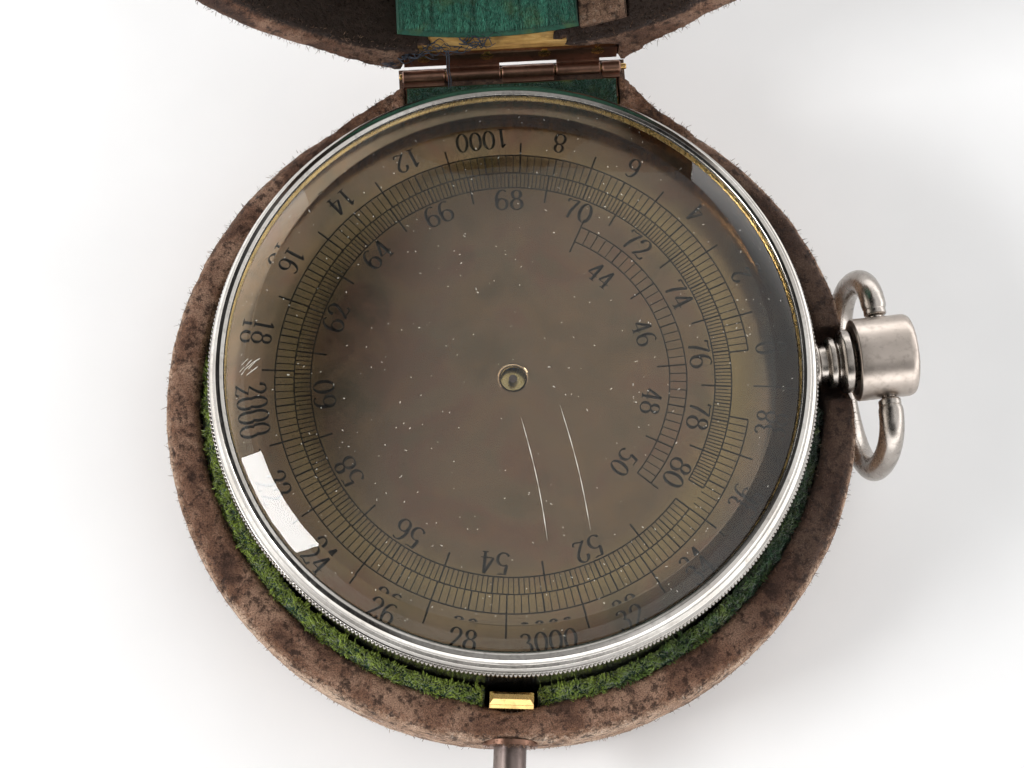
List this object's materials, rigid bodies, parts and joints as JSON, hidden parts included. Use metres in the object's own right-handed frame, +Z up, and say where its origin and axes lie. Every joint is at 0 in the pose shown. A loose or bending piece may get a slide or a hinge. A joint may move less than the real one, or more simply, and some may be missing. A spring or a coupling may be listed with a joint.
{
  "type": "pocket aneroid barometer",
  "caption": "Round pocket aneroid barometer with bevelled glass, coin-edged bezel and pendant bow, in a hinged leather clamshell case lined with green plush.",
  "frame": {"origin": "centre of the flat bottom of the case's lower half", "axes": "+Z up through the dial, +Y towards the hinge, +X towards the pendant"},
  "size_m": [0.1, 0.1227, 0.1099],
  "materials": {
    "case_leather": "worn brown suede-like leather over board",
    "hinge_wood": "bare ochre wood and board",
    "plush": "short-pile green plush, worn",
    "copper_hinge": "tarnished copper-brown brass",
    "brass": "worn yellow brass",
    "dark_steel": "browned steel",
    "spring_steel": "polished spring steel",
    "nickel": "worn nickel plate with fine pits",
    "silvered_dial": "silvered brass, tarnished grey-brown with gold and pink patches",
    "glass": "thick bevelled crystal"
  },
  "bodies": {
    "case_base": {"base_shell": "case_leather", "base_hinge_block": "hinge_wood", "base_velvet_wall": "plush", "base_velvet_pad": "plush", "base_velvet_strip": "plush", "hinge_base_leaf": "copper_hinge", "base_leaf_screws": "brass", "hinge_pin": "copper_hinge", "latch_ferrule": "brass", "latch_spring": "spring_steel"},
    "lid": {"lid_wall": "case_leather", "lid_shoulder": "case_leather", "lid_top": "case_leather", "lid_hinge_block": "hinge_wood", "lid_velvet_pad": "plush", "lid_velvet_strip": "plush", "hinge_lid_leaf": "copper_hinge", "lid_leaf_screws": "brass", "lid_strike": "brass", "strike_rivets": "brass"},
    "press_catch": {"latch_pin": "dark_steel", "latch_catch": "brass"},
    "instrument": {"body_drum": "nickel", "back_cover": "nickel", "pendant_neck": "nickel", "pendant_cap": "nickel", "movement_plate": "brass", "plate_screws": "dark_steel", "aneroid_capsule": "nickel", "capsule_post": "nickel", "spring_bridge": "brass", "bridge_screws": "dark_steel", "mainspring": "spring_steel", "shaft_posts": "brass", "arbor_plate": "brass", "arbor_pillars": "brass", "arbor_cock": "brass", "hairspring": "spring_steel", "pull_chain": "brass", "dial": "silvered_dial", "dial_pillars": "brass"},
    "bow": {"bow": "nickel"},
    "lever": {"main_lever": "spring_steel", "compensation_bar": "brass", "link_rod": "spring_steel"},
    "rocker": {"rocking_shaft": "spring_steel"},
    "arbor": {"hand_arbor": "spring_steel"},
    "regulator": {"regulating_screw": "dark_steel"},
    "bezel_unit": {"bezel": "nickel", "glass": "glass", "glass_seat_ring": "brass"}
  },
  "joints": [
    {"name": "lid_hinge", "type": "hinge", "parent": "case_base", "child": "lid", "pos_m": [-0.0014, 0.0447, 0.0222], "axis": [-0.9962, -0.0872, 0], "range_deg": [-95, 12]},
    {"name": "press_catch_slide", "type": "slide", "parent": "case_base", "child": "press_catch", "axis": [0, 1, 0], "range_m": [0, 0.0008], "stiffness_N_per_m": 400, "springref_m": -0.003, "deforming": ["latch_spring"]},
    {"name": "instrument_lift", "type": "slide", "parent": "case_base", "child": "instrument", "axis": [0, 0, 1], "range_m": [0, 0.04]},
    {"name": "bow_swing", "type": "hinge", "parent": "instrument", "child": "bow", "pos_m": [0.04741, 0.00683, 0.0215], "axis": [0.1426, -0.9898, 0], "range_deg": [-1, 185]},
    {"name": "bezel_turn", "type": "hinge", "parent": "instrument", "child": "bezel_unit", "pos_m": [0, 0, 0.035], "axis": [0, 0, 1], "continuous": true},
    {"name": "hand_arbor_turn", "type": "hinge", "parent": "instrument", "child": "arbor", "pos_m": [0, 0, 0.0245], "axis": [0, 0, 1], "range_deg": [-77, 77], "stiffness_Nm_per_rad": 0.00002},
    {"name": "lever_tilt", "type": "hinge", "parent": "instrument", "child": "lever", "pos_m": [-0.00322, 0.02237, 0.01767], "axis": [0.9898, 0.1426, 0], "range_deg": [-1.6, 1.6]},
    {"name": "rocking_shaft_turn", "type": "hinge", "parent": "instrument", "child": "rocker", "pos_m": [0.00342, -0.02375, 0.0166], "axis": [0.9898, 0.1426, 0], "range_deg": [-10.9, 10.9], "deforming": ["pull_chain"]},
    {"name": "regulating_screw_turn", "type": "hinge", "parent": "instrument", "child": "regulator", "pos_m": [-0.00271, 0.01881, 0.008], "axis": [0, 0, 1], "range_deg": [-170, 170]}
  ],
  "couplings": [
    {"joint": "lever_tilt", "follows": "hand_arbor_turn", "ratio": 0.020779},
    {"joint": "rocking_shaft_turn", "follows": "hand_arbor_turn", "ratio": -0.14067}
  ]
}
